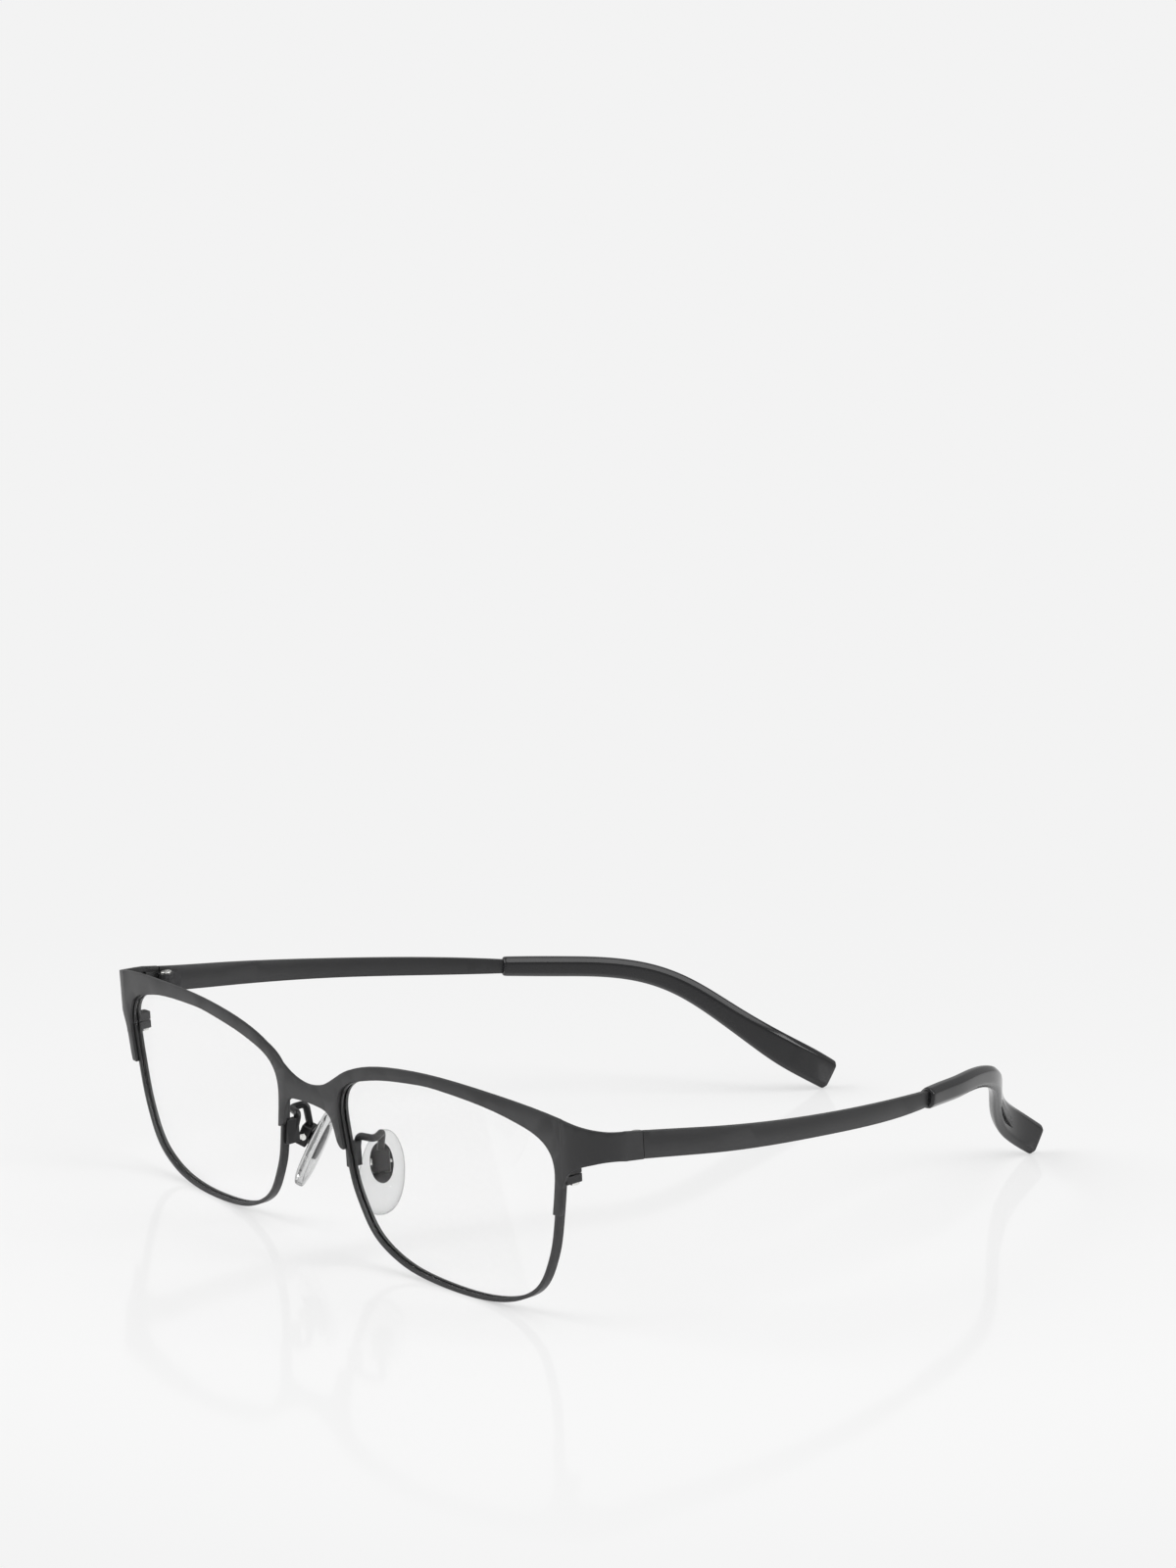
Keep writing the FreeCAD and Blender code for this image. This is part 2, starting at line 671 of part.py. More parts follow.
def pad_arm(box):
    """Foot on the back of the rim and the wire that hooks up, out, back and down to the box."""
    x0 = bridge_width / 2 + groove_depth - foot_overlap
    y0 = sheet_thickness + rim_depth / 2
    y1 = sheet_thickness + rim_depth + foot_depth
    low = foot_rise - foot_length / 2
    rim = lens_prism(rim_wall).common(front_layer(sheet_thickness, sheet_thickness + rim_depth))
    foot = block(x0, x0 + foot_width, y0, y1, low, low + foot_length).cut(rim)
    pivot = pad_point(0, 0, 0)
    first = Vector(x0 + foot_width / 2, y1 - arm_radius, foot_rise)
    route = [first] + [pivot + Vector(*share) * pad_length for share in ARM_ROUTE_SHARES]
    route.append(pad_point(0, 0, box_length / 2))
    wire = tube(route, arm_radius, arm_bend_radius)
    return fused([foot, wire]).cut(box)


def resting_tilt(rims, tips):
    """Turn about X that brings the rims and the tip ends down to one level."""
    angle = 0.0
    for _ in range(6):
        low = []
        for shape in (rims, tips):
            turned = shape.copy()
            turned.rotate(Vector(0, 0, 0), Vector(1, 0, 0), angle)
            box = turned.optimalBoundingBox()
            low.append((box.ZMin, box.YMax))
        drop = low[0][0] - low[1][0]
        angle += math.degrees(math.atan2(drop, low[1][1]))
    return angle


def left_pieces():
    """Every piece of the left side."""
    rim = eyewire()
    strip = temple()
    insert = pad_insert()
    box = pad_box()
    return {
        "eyewire": rim,
        "lens": lens(),
        "rim_lock_upper": rim_lock(1),
        "rim_lock_lower": rim_lock(-1),
        "rim_lock_screw": lock_screw(),
        "front_hinge_leaf": hinge_leaf(-1, (-1, 1), frame_half_width - sheet_thickness),
        "temple_hinge_leaf": hinge_leaf(1, (0,), frame_half_width - temple_thickness),
        "hinge_screw": hinge_screw(),
        "temple": strip,
        "temple_tip": temple_tip(strip),
        "pad_arm": pad_arm(box),
        "pad_box": box,
        "pad_screw": pad_screw(),
        "pad_insert": insert,
        "nose_pad": nose_pad(insert),
    }


def main():
    os.makedirs("parts", exist_ok=True)
    nodes = {"brow_front": brow_front()}
    for name, shape in left_pieces().items():
        nodes["left_" + name] = shape
        nodes["right_" + name] = mirrored(shape)
    tilt = resting_tilt(nodes["left_eyewire"], nodes["left_temple_tip"])
    whole = Part.makeCompound(list(nodes.values()))
    whole.rotate(Vector(0, 0, 0), Vector(1, 0, 0), tilt)
    box = whole.optimalBoundingBox()
    move = Vector(0, -box.Center.y, -box.ZMin)
    for name, shape in nodes.items():
        placed = shape.copy()
        placed.rotate(Vector(0, 0, 0), Vector(1, 0, 0), tilt)
        placed.translate(move)
        placed.exportStep("parts/" + name + ".step")
    print("tilt", tilt, "move", move)
    print("hinge", hinge_x, hinge_back, hinge_height)
    print("pad pivot", pad_point(0, 0, 0), "axis", pad_frame()[0])


main()
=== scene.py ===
import math

import bmesh
import bpy
from bpy.props import FloatProperty, FloatVectorProperty, IntProperty, PointerProperty
from mathutils import Matrix, Vector


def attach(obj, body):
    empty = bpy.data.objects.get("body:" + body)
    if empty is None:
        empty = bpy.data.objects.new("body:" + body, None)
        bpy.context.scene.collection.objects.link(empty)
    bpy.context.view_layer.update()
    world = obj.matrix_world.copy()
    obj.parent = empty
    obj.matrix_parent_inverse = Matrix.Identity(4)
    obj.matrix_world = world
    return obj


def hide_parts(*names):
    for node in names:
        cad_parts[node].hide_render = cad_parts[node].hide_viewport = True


bl_info = {
    "name": "Spectacle Frame Finish",
    "version": (1, 0, 0),
    "blender": (4, 5, 0),
    "location": "View3D > Sidebar > Spectacles",
    "description": "Finishes, fine pieces and a plain studio for a metal spectacle frame",
    "category": "Object",
}

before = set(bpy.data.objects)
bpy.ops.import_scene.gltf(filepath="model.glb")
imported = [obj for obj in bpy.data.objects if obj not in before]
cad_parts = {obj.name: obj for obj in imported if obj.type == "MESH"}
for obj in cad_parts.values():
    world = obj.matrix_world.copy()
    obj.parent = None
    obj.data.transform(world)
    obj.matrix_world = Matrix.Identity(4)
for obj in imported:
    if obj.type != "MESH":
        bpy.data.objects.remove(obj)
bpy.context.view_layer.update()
SIDES = ("left", "right")
MM = 0.001


# Sizes and colours that a user would change

class FrameSizes(bpy.types.PropertyGroup):
    """Sizes of the fine pieces."""

    edge_round: FloatProperty(
        name="Edge round", description="Softened edge of the sheet, rims, locks, temples and pad boxes",
        default=0.06 * MM, min=0.0, subtype="DISTANCE", unit="LENGTH")
    edge_steps: IntProperty(
        name="Edge steps", description="Faces across a softened edge", default=2, min=1, max=6)
    arm_growth: FloatProperty(
        name="Pad arm growth", description="How far the surface of the pad arms is moved outwards",
        default=0.14 * MM, min=0.0, subtype="DISTANCE", unit="LENGTH")
    pad_width: FloatProperty(
        name="Pad width", description="Width of the nose pad",
        default=8.9 * MM, min=0.001, subtype="DISTANCE", unit="LENGTH")
    pad_length: FloatProperty(
        name="Pad length", description="Length of the nose pad",
        default=15.2 * MM, min=0.001, subtype="DISTANCE", unit="LENGTH")
    pad_depth: FloatProperty(
        name="Pad depth", description="Thickness of the nose pad at its crown",
        default=2.3 * MM, min=0.0005, subtype="DISTANCE", unit="LENGTH")
    pad_seat: FloatProperty(
        name="Pad seat", description="Distance of the pad's back from the pivot in its box",
        default=1.35 * MM, min=0.0, subtype="DISTANCE", unit="LENGTH")
    pad_pivot: FloatVectorProperty(
        name="Pad pivot", description="Pivot of the left nose pad",
        subtype="XYZ", size=3, unit="LENGTH", default=(0.01105, -0.0628362, 0.0163638))
    pad_up: FloatVectorProperty(
        name="Pad up", description="Direction up along the left nose pad",
        subtype="XYZ", size=3, default=(-0.37308, 0.17129, 0.91185))
    pad_towards: FloatVectorProperty(
        name="Pad towards", description="Direction from the left nose pad to the nose",
        subtype="XYZ", size=3, default=(-0.71804, 0.5691, -0.40068))
    tip_bevel: FloatProperty(
        name="Tip bevel", description="Bevel along the four edges of an ear tip",
        default=0.85 * MM, min=0.0, subtype="DISTANCE", unit="LENGTH")
    tip_round: FloatProperty(
        name="Tip edge round", description="Rounding beside each edge of the ear tip's bevels",
        default=0.16 * MM, min=0.0, subtype="DISTANCE", unit="LENGTH")
    smoothing: IntProperty(
        name="Smoothing", description="Subdivision levels of the moulded pieces", default=3, min=1, max=4)


class FrameFinishes(bpy.types.PropertyGroup):
    """Colours and gloss of the frame."""

    metal_colour: FloatVectorProperty(
        name="Metal", description="Plated sheet of the brow, rims and temples",
        subtype="COLOR", size=3, default=(0.042, 0.042, 0.043), min=0.0, max=1.0)
    metal_roughness: FloatProperty(
        name="Metal roughness", description="Satin of the plated sheet",
        default=0.40, min=0.0, max=1.0, subtype="FACTOR")
    arm_colour: FloatVectorProperty(
        name="Pad arms", description="Black plated wire of the pad arms",
        subtype="COLOR", size=3, default=(0.018, 0.018, 0.019), min=0.0, max=1.0)
    tip_colour: FloatVectorProperty(
        name="Tips", description="Glossy black plastic of the ear tips",
        subtype="COLOR", size=3, default=(0.012, 0.012, 0.013), min=0.0, max=1.0)
    screw_colour: FloatVectorProperty(
        name="Screws", description="Bright nickel of the screws",
        subtype="COLOR", size=3, default=(0.78, 0.78, 0.76), min=0.0, max=1.0)
    pad_colour: FloatVectorProperty(
        name="Pads", description="Clear silicone of the nose pads",
        subtype="COLOR", size=3, default=(0.84, 0.845, 0.845), min=0.0, max=1.0)


class StudioSettings(bpy.types.PropertyGroup):
    """Floor, lamps and camera."""

    floor_colour: FloatVectorProperty(
        name="Floor", description="Pale floor and background",
        subtype="COLOR", size=3, default=(0.896, 0.896, 0.896), min=0.0, max=1.0)
    floor_share: FloatProperty(
        name="Floor light", description="Share of the floor near the frame that glows, which keeps it even",
        default=0.52, min=0.0, max=1.0, subtype="FACTOR")
    floor_lift: FloatProperty(
        name="Floor lift", description="How much brighter the glow is near the frame",
        default=1.045, min=0.5)
    floor_half: FloatProperty(
        name="Floor half size", description="Half the side of the floor",
        default=30.0, min=0.5, subtype="DISTANCE", unit="LENGTH")
    key_power: FloatProperty(
        name="Key", description="Power of the large lamp above the front",
        default=7.6, min=0.0, subtype="POWER", unit="POWER")
    fill_power: FloatProperty(
        name="Fill", description="Power of the lamp at the side",
        default=4.8, min=0.0, subtype="POWER", unit="POWER")
    top_power: FloatProperty(
        name="Top", description="Power of the lamp overhead, which lights upper edges",
        default=4.5, min=0.0, subtype="POWER", unit="POWER")
    world_strength: FloatProperty(
        name="Sky", description="Even light from all around",
        default=0.45, min=0.0)
    lens_mm: FloatProperty(
        name="Lens", description="Focal length of the camera on a 36 mm sensor",
        default=123.378, min=1.0)
    camera_place: FloatVectorProperty(
        name="Camera place", description="Where the camera stands",
        subtype="XYZ", size=3, unit="LENGTH", default=(0.721928, -0.56711, 0.258237))
    camera_turn: FloatVectorProperty(
        name="Camera turn", description="How the camera is turned",
        subtype="EULER", size=3, unit="ROTATION",
        default=tuple(math.radians(a) for a in (78.50175, -0.20012, 52.42399)))


# Shared effects

def new_group(name, inputs, outputs):
    """Empty shader group with its sockets, and its input and output nodes."""
    group = bpy.data.node_groups.new(name, "ShaderNodeTree")
    for kind, sockets in (("INPUT", inputs), ("OUTPUT", outputs)):
        for socket, socket_type, value in sockets:
            made = group.interface.new_socket(socket, in_out=kind, socket_type=socket_type)
            if value is not None:
                made.default_value = value
    return group, group.nodes.new("NodeGroupInput"), group.nodes.new("NodeGroupOutput")


def node(tree, kind, links=None, **settings):
    """Node with its settings, and sockets set to values or linked to other sockets."""
    made = tree.nodes.new(kind)
    for key, value in settings.items():
        setattr(made, key, value)
    for key, value in (links or {}).items():
        socket = made.inputs[key]
        if isinstance(value, bpy.types.NodeSocket):
            tree.links.new(value, socket)
        else:
            socket.default_value = value
    return made


def edge_wear_and_highlight_group():
    """Mask that is 1 along edges and 0 elsewhere, broken up by noise: it marks worn edges and a painted
    highlight along the edges.
    """
    group, given, out = new_group(
        "edge wear and painted highlight",
        [("Width", "NodeSocketFloat", 0.1 * MM), ("Breakup", "NodeSocketFloat", 9000.0)],
        [("Mask", "NodeSocketFloat", None)])
    place = node(group, "ShaderNodeTexCoord")
    round_edge = node(group, "ShaderNodeBevel", {"Radius": given.outputs["Width"]}, samples=6)
    surface = node(group, "ShaderNodeNewGeometry")
    facing = node(group, "ShaderNodeVectorMath",
                  {0: round_edge.outputs[0], 1: surface.outputs["Normal"]}, operation="DOT_PRODUCT")
    edge = node(group, "ShaderNodeMapRange",
                {"Value": facing.outputs["Value"], "From Min": 0.995, "From Max": 0.9})
    speckle = node(group, "ShaderNodeTexNoise",
                   {"Vector": place.outputs["Object"], "Scale": given.outputs["Breakup"], "Detail": 3.0})
    patch = node(group, "ShaderNodeMapRange",
                 {"Value": speckle.outputs[0], "From Min": 0.35, "From Max": 0.65, "To Min": 0.35})
    both = node(group, "ShaderNodeMath", {0: edge.outputs[0], 1: patch.outputs[0]}, operation="MULTIPLY")
    group.links.new(both.outputs[0], out.inputs["Mask"])
    return group


def grain_group():
    """Fine blasted grain with slow cloudiness: a height for bumps and a cloud from 0 to 1."""
    group, given, out = new_group(
        "blasted grain",
        [("Grain", "NodeSocketFloat", 9000.0), ("Clouds", "NodeSocketFloat", 120.0)],
        [("Height", "NodeSocketFloat", None), ("Cloud", "NodeSocketFloat", None)])
    place = node(group, "ShaderNodeTexCoord")
    fine = node(group, "ShaderNodeTexNoise",
                {"Vector": place.outputs["Object"], "Scale": given.outputs["Grain"], "Detail": 2.0})
    slow = node(group, "ShaderNodeTexNoise",
                {"Vector": place.outputs["Object"], "Scale": given.outputs["Clouds"], "Detail": 4.0})
    group.links.new(fine.outputs[0], out.inputs["Height"])
    group.links.new(slow.outputs[0], out.inputs["Cloud"])
    return group


def new_material(name):
    """Material with a node tree, and its shader."""
    made = bpy.data.materials.new(name)
    made.use_nodes = True
    return made, made.node_tree, made.node_tree.nodes["Principled BSDF"]


def shade(colour, factor):
    """RGBA of a colour made lighter or darker."""
    return (*(min(1.0, c * factor) for c in colour), 1.0)


def clouded_material(name, grain, dark, light, gloss):
    """Material with grain and clouds: itself, its tree, shader and grain, and its colour."""
    made, tree, shader = new_material(name)
    grains = node(tree, "ShaderNodeGroup", {"Grain": grain},
                  node_tree=bpy.data.node_groups["blasted grain"])
    colour = node(tree, "ShaderNodeMix", {"Factor": grains.outputs["Cloud"], "A": dark, "B": light},
                  data_type="RGBA")
    roughness = node(tree, "ShaderNodeMapRange",
                     {"Value": grains.outputs["Cloud"], "To Min": gloss[0], "To Max": gloss[1]})
    tree.links.new(roughness.outputs[0], shader.inputs["Roughness"])
    return made, tree, shader, grains, colour.outputs["Result"]


def add_relief(tree, shader, height, strength, distance):
    """Fine bumps from a height that changes over the surface."""
    relief = node(tree, "ShaderNodeBump", {"Height": height, "Strength": strength, "Distance": distance})
    tree.links.new(relief.outputs[0], shader.inputs["Normal"])


# How far the clouds change the roughness of plated metal, either way
METAL_HAZE = 0.05


def metal(name, colour, roughness, metallic, grain, bump, wear_and_highlight, wear_and_highlight_width):
    """Plated metal: grain, clouds in colour and gloss, and edges made paler by a factor, partly wear and
    partly a painted highlight.
    """
    made, tree, shader, grains, body = clouded_material(
        name, grain, dark=shade(colour, 0.9), light=shade(colour, 1.12),
        gloss=(roughness - METAL_HAZE, roughness + METAL_HAZE))
    shader.inputs["Metallic"].default_value = metallic
    wear_and_highlight_mask = node(tree, "ShaderNodeGroup", {"Width": wear_and_highlight_width},
                node_tree=bpy.data.node_groups["edge wear and painted highlight"])
    # Paler edges: partly wear, partly a painted highlight along the edges
    edged = node(tree, "ShaderNodeMix",
                 {"Factor": wear_and_highlight_mask.outputs["Mask"], "A": body, "B": shade(colour, wear_and_highlight)}, data_type="RGBA")
    tree.links.new(edged.outputs["Result"], shader.inputs["Base Color"])
    add_relief(tree, shader, grains.outputs["Height"], strength=bump, distance=0.01 * MM)
    return made


def tip_plastic(colour):
    """Polished black plastic with a little haze and dust."""
    made, tree, shader, grains, body = clouded_material(
        "polished black plastic", grain=2500.0, dark=shade(colour, 0.85), light=shade(colour, 1.3),
        gloss=(0.1, 0.2))
    shader.inputs["Specular IOR Level"].default_value = 0.45
    tree.links.new(body, shader.inputs["Base Color"])
    add_relief(tree, shader, grains.outputs["Cloud"], strength=0.12, distance=0.05 * MM)
    return made


def clear_silicone(colour):
    """Clear soft silicone, slightly hazy, with painted shade where it is seen at a slant."""
    made, tree, shader, grains, body = clouded_material(
        "clear silicone", grain=3000.0, dark=shade(colour, 0.97), light=shade(colour, 1.0),
        gloss=(0.02, 0.05))
    shader.inputs["Transmission Weight"].default_value = 0.985
    shader.inputs["IOR"].default_value = 1.25
    # Painted shade: the colour darkens where the pad is seen at a slant, for the dark edges of the clear
    # pad
    slant = node(tree, "ShaderNodeLayerWeight", {"Blend": 0.5})
    slant_shade_mask = node(tree, "ShaderNodeMapRange",
                   {"Value": slant.outputs["Facing"], "From Min": 0.03, "From Max": 0.4})
    slant_shaded = node(tree, "ShaderNodeMix",
                    {"Factor": slant_shade_mask.outputs[0], "A": body, "B": shade(colour, 0.55)}, data_type="RGBA")
    tree.links.new(slant_shaded.outputs["Result"], shader.inputs["Base Color"])
    add_relief(tree, shader, grains.outputs["Height"], strength=0.05, distance=0.02 * MM)
    return made


def clear_lens():
    """Clear polished lens."""
    made, tree, shader, _, body = clouded_material(
        "clear lens", grain=400.0, dark=(0.985, 0.99, 0.99, 1.0), light=(1.0, 1.0, 1.0, 1.0),
        gloss=(0.0, 0.02))
    shader.inputs["Transmission Weight"].default_value = 1.0
    shader.inputs["IOR"].default_value = 1.3
    shader.inputs["Alpha"].default_value = 0.03
    tree.links.new(body, shader.inputs["Base Color"])
    return made


# Edges that turn by more than this are rounded
SHARP_ANGLE = math.radians(38.0)
# Distance within which faces are joined, as a share of the change made after it
WELD_SHARE = 0.02


def soften(names, width, steps):
    """Joins the faces of carried nodes and rounds their sharp edges a little."""
    for name in names:
        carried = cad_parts[name]
        carried.modifiers.new("join", "WELD").merge_threshold = width * WELD_SHARE
        rounded = carried.modifiers.new("edges", "BEVEL")
        rounded.width = width
        rounded.segments = steps
        rounded.limit_method = "ANGLE"
        rounded.angle_limit = SHARP_ANGLE
        rounded.harden_normals = True


def thicken(names, by):
    """Joins the faces of carried nodes and moves their surface outwards."""
    for name in names:
        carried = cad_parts[name]
        carried.modifiers.new("join", "WELD").merge_threshold = by * WELD_SHARE
        grown = carried.modifiers.new("grow", "DISPLACE")
        grown.mid_level = 0.0
        grown.strength = by


def dress(names, material):
    """Gives a material to CAD nodes."""
    for name in names:
        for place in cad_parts[name].material_slots:
            place.material = material


def both_sides(*names):
    """Node names of both sides."""
    return [side + "_" + name for side in SIDES for name in names]


# New pieces

# Outline of the left nose pad from its pivot: back as shares of its width, up as
# shares of its length
PAD_SHARES = (
    (-0.11, 0.395), (-0.31, 0.335), (-0.435, 0.125), (-0.435, -0.095), (-0.375, -0.315),
    (-0.225, -0.495), (0.01, -0.585), (0.28, -0.565), (0.455, -0.44), (0.495, -0.2),
    (0.415, 0.035), (0.265, 0.23), (0.1, 0.355),
)
# Steps in and out from the pad's wall, as shares of its depth: inwards, then outwards
PAD_CROWN_STEPS = ((0.07, 0.05), (0.18, 0.06), (0.5, 0.08), (0.6, 0.04))
PAD_BACK_STEPS = ((0.1, 0.12), (0.3, 0.14), (0.4, 0.04))

# Sections of the left ear tip at even steps, in millimetres: place, height and thickness
TIP_STATIONS = (
    (59.96, 15.56, 25.18, 3.62, 2.85), (57.66, 20.84, 24.88, 3.76, 2.89), (55.39, 26.12, 24.55, 3.77, 2.85),
    (52.77, 31.25, 24.24, 3.74, 2.76), (50.02, 36.27, 23.6, 3.75, 2.66), (47.17, 41.11, 22.31, 3.9, 2.55),
    (43.9, 45.36, 20.22, 4.09, 2.45), (40.3, 48.9, 17.46, 4.3, 2.35), (36.74, 52.22, 14.38, 4.59, 2.3),
    (33.51, 55.81, 11.23, 5.21, 2.3), (30.98, 59.93, 8.1, 5.94, 2.3), (29.52, 64.5, 5.22, 6.05, 2.3),
    (28.92, 69.1, 2.42, 5.75, 2.25),
)
# Where a ring beside each end keeps it square, as a share of one step
TIP_HOLD = 0.17
# Rounds in which the control points of the tip's line are found
CAGE_ROUNDS = 3
# Rounding of the tip's two ends: inset and rise, as shares of the bevel
TIP_END_SHARES = (0.55, 0.25)


def new_piece(name, shape, material, body):
    """Object made from a bmesh, with its material, slot and body."""
    bmesh.ops.recalc_face_normals(shape, faces=shape.faces)
    mesh = bpy.data.meshes.new(name)
    for face in shape.faces:
        face.smooth = True
    shape.to_mesh(mesh)
    shape.free()
    mesh.materials.append(material)
    made = bpy.data.objects.new(name, mesh)
    bpy.context.scene.collection.objects.link(made)
    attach(made, body)
    return made


def smooth(made, levels):
    """Subdivision surface, the same in the view as in the render."""
    surface = made.modifiers.new("smooth", "SUBSURF")
    surface.levels = levels
    surface.render_levels = levels


def pad_shape(sizes):
    """Crowned pad in its own directions: X back along it, Y up it, Z towards the nose."""
    shape = bmesh.new()
    base = shape.faces.new([shape.verts.new((u * sizes.pad_width, w * sizes.pad_length, 0.0))
                            for u, w in PAD_SHARES])
    wall = 1.0 - sum(step[1] for step in PAD_CROWN_STEPS + PAD_BACK_STEPS)
    made = bmesh.ops.extrude_face_region(shape, geom=[base])["geom"]
    raised = [item for item in made if isinstance(item, bmesh.types.BMVert)]
    bmesh.ops.translate(shape, verts=raised, vec=(0.0, 0.0, wall * sizes.pad_depth))
    bmesh.ops.recalc_face_normals(shape, faces=shape.faces)
    ends = sorted((f for f in shape.faces if len(f.verts) > 4), key=lambda f: f.calc_center_median().z)
    for face, steps in ((ends[0], PAD_BACK_STEPS), (ends[1], PAD_CROWN_STEPS)):
        for inward, outward in steps:
            bmesh.ops.inset_region(shape, faces=[face], thickness=inward * sizes.pad_depth,
                                   depth=outward * sizes.pad_depth, use_even_offset=True)
    lowest = min(vert.co.z for vert in shape.verts)
    bmesh.ops.translate(shape, verts=shape.verts, vec=(0.0, 0.0, sizes.pad_seat - lowest))
    return shape


def cage(points):
    """Control points at even steps whose smoothed line passes close to the given points."""
    held = list(points)
    for _ in range(CAGE_ROUNDS):
        for i in range(1, len(points) - 1):
            held[i] = (points[i] * 6.0 - held[i - 1] - held[i + 1]) / 4.0
    return held


def tip_ring(sizes, points, index, height, thickness):
    """Two points beside each corner of a bevelled upright section, square to the tip's line."""
    along = (points[min(index + 1, len(points) - 1)] - points[max(index - 1, 0)]).normalized()
    side = Vector((along.y, -along.x, 0.0)).normalized()
    up = side.cross(along).normalized()
    cut = sizes.tip_bevel
    corners = []
    for out, rise in ((-1, 1), (1, 1), (1, -1), (-1, -1)):
        flat = (out * (thickness / 2 - cut), rise * height / 2)
        wall = (out * thickness / 2, rise * (height / 2 - cut))
        corners += [flat, wall] if out == rise else [wall, flat]
    places = [points[index] + side * u + up * w for u, w in corners]
    ring = []
    for k, place in enumerate(places):
        for other in (places[k - 1], places[(k + 1) % len(places)]):
            ring.append(place + (other - place).normalized() * sizes.tip_round)
    return ring


def tip_shape(sizes):
    """Bevelled bar drawn through the stations of the left ear tip."""
    shape = bmesh.new()
    points = cage([Vector(row[:3]) * MM for row in TIP_STATIONS])
    rings = [tip_ring(sizes, points, i, row[3] * MM, row[4] * MM) for i, row in enumerate(TIP_STATIONS)]
    for end, beside, place in ((rings[0], rings[1], 1), (rings[-1], rings[-2], -1)):
        rings.insert(place, [here.lerp(there, TIP_HOLD) for here, there in zip(end, beside)])
    cap = shape.faces.new([shape.verts.new(place) for place in rings[0]])
    first = cap
    for here, ahead in zip(rings, rings[1:]):
        made = bmesh.ops.extrude_face_region(shape, geom=[cap])["geom"]
        if cap != first:
            bmesh.ops.delete(shape, geom=[cap], context="FACES_ONLY")
        cap = next(item for item in made if isinstance(item, bmesh.types.BMFace))
        for vert in cap.verts:
            nearest = min(range(len(here)), key=lambda k: (here[k] - vert.co).length)
            vert.co = ahead[nearest]
    bmesh.ops.recalc_face_normals(shape, faces=shape.faces)
    inset, rise = (share * sizes.tip_bevel for share in TIP_END_SHARES)
    for end in (first, cap):
        bmesh.ops.inset_region(shape, faces=[end], thickness=inset, depth=rise, use_even_offset=True)
    return shape


def pad_place(sizes):
    """Matrix from the pad's own directions to the frame's."""
    up = Vector(sizes.pad_up)
    towards = Vector(sizes.pad_towards)
    turn = Matrix((up.cross(towards), up, towards)).transposed()
    return Matrix.Translation(sizes.pad_pivot) @ turn.to_4x4()


# Operators

class SPECS_OT_effects(bpy.types.Operator):
    """Make the effects that the materials share"""

    bl_idname = "specs.effects"
    bl_label = "Shared effects"

    def execute(self, context):
        edge_wear_and_highlight_group()
        grain_group()
        return {"FINISHED"}


class SPECS_OT_pads(bpy.types.Operator):
    """Make the two clear moulded nose pads"""

    bl_idname = "specs.pads"
    bl_label = "Nose pads"

    def execute(self, context):
        sizes = context.scene.frame_sizes
        silicone = clear_silicone(context.scene.frame_finishes.pad_colour)
        for side, sign in zip(SIDES, (1.0, -1.0)):
            shape = pad_shape(sizes)
            bmesh.ops.transform(shape, matrix=Matrix.Diagonal((sign, 1.0, 1.0, 1.0)) @ pad_place(sizes),
                                verts=shape.verts)
            pad = new_piece(side + "_moulded_pad", shape, silicone, side + "_pad")
            smooth(pad, sizes.smoothing)
            pad.visible_shadow = False
            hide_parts(side + "_nose_pad")
        return {"FINISHED"}


class SPECS_OT_tips(bpy.types.Operator):
    """Make the two bevelled black ear tips"""

    bl_idname = "specs.tips"
    bl_label = "Ear tips"

    def execute(self, context):
        sizes = context.scene.frame_sizes
        plastic = tip_plastic(context.scene.frame_finishes.tip_colour)
        for side, sign in zip(SIDES, (1.0, -1.0)):
            shape = tip_shape(sizes)
            bmesh.ops.scale(shape, vec=(sign, 1.0, 1.0), verts=shape.verts)
            tip = new_piece(side + "_bevelled_tip", shape, plastic, side + "_temple_arm")
            smooth(tip, sizes.smoothing)
            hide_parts(side + "_temple_tip")
        return {"FINISHED"}


class SPECS_OT_finishes(bpy.types.Operator):
    """Make the finishes, dress the carried nodes, soften edges and thicken the pad arms"""

    bl_idname = "specs.finishes"
    bl_label = "Finishes"

    def execute(self, context):
        look = context.scene.frame_finishes
        sizes = context.scene.frame_sizes
        # The last two values of each metal make its edges paler: partly wear, partly a painted highlight
        sheet = metal("satin grey sheet", look.metal_colour, look.metal_roughness, metallic=0.6,
                      grain=9000.0, bump=0.25, wear_and_highlight=1.9, wear_and_highlight_width=0.1 * MM)
        black = metal("black plated wire", look.arm_colour, roughness=0.3, metallic=0.5,
                      grain=7000.0, bump=0.12, wear_and_highlight=2.5, wear_and_highlight_width=0.06 * MM)
        silver = metal("bright screw metal", look.screw_colour, roughness=0.22, metallic=1.0,
                       grain=12000.0, bump=0.15, wear_and_highlight=1.1, wear_and_highlight_width=0.05 * MM)
        plated = ["brow_front"] + both_sides("eyewire", "rim_lock_upper", "rim_lock_lower", "temple")
        dress(plated + both_sides("front_hinge_leaf", "temple_hinge_leaf"), sheet)
        dress(both_sides("pad_arm", "pad_box", "pad_insert"), black)
        dress(both_sides("rim_lock_screw", "hinge_screw", "pad_screw"), silver)
        dress(both_sides("lens"), clear_lens())
        for name in both_sides("lens"):
            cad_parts[name].visible_shadow = False
        soften(plated + both_sides("pad_box"), sizes.edge_round, sizes.edge_steps)
        thicken(both_sides("pad_arm"), sizes.arm_growth)
        return {"FINISHED"}


# Place and side of each square lamp, and the point that they are aimed at
LAMPS = {
    "key": ((-0.5, -0.8, 0.7), 0.8),
    "fill": ((0.8, 0.7, 0.6), 0.6),
    "top": ((0.4, 0.2, 1.1), 0.8),
}
LAMP_AIM = Vector((0.0, 0.0, 0.02))
# Gloss of the floor, and how much paler its own colour is than that of its glow
FLOOR_ROUGHNESS = 0.07
FLOOR_PALER = 1.03
# Distances from the middle between which the lit floor fades into the glowing one
FLOOR_FADE = (0.11, 0.24)


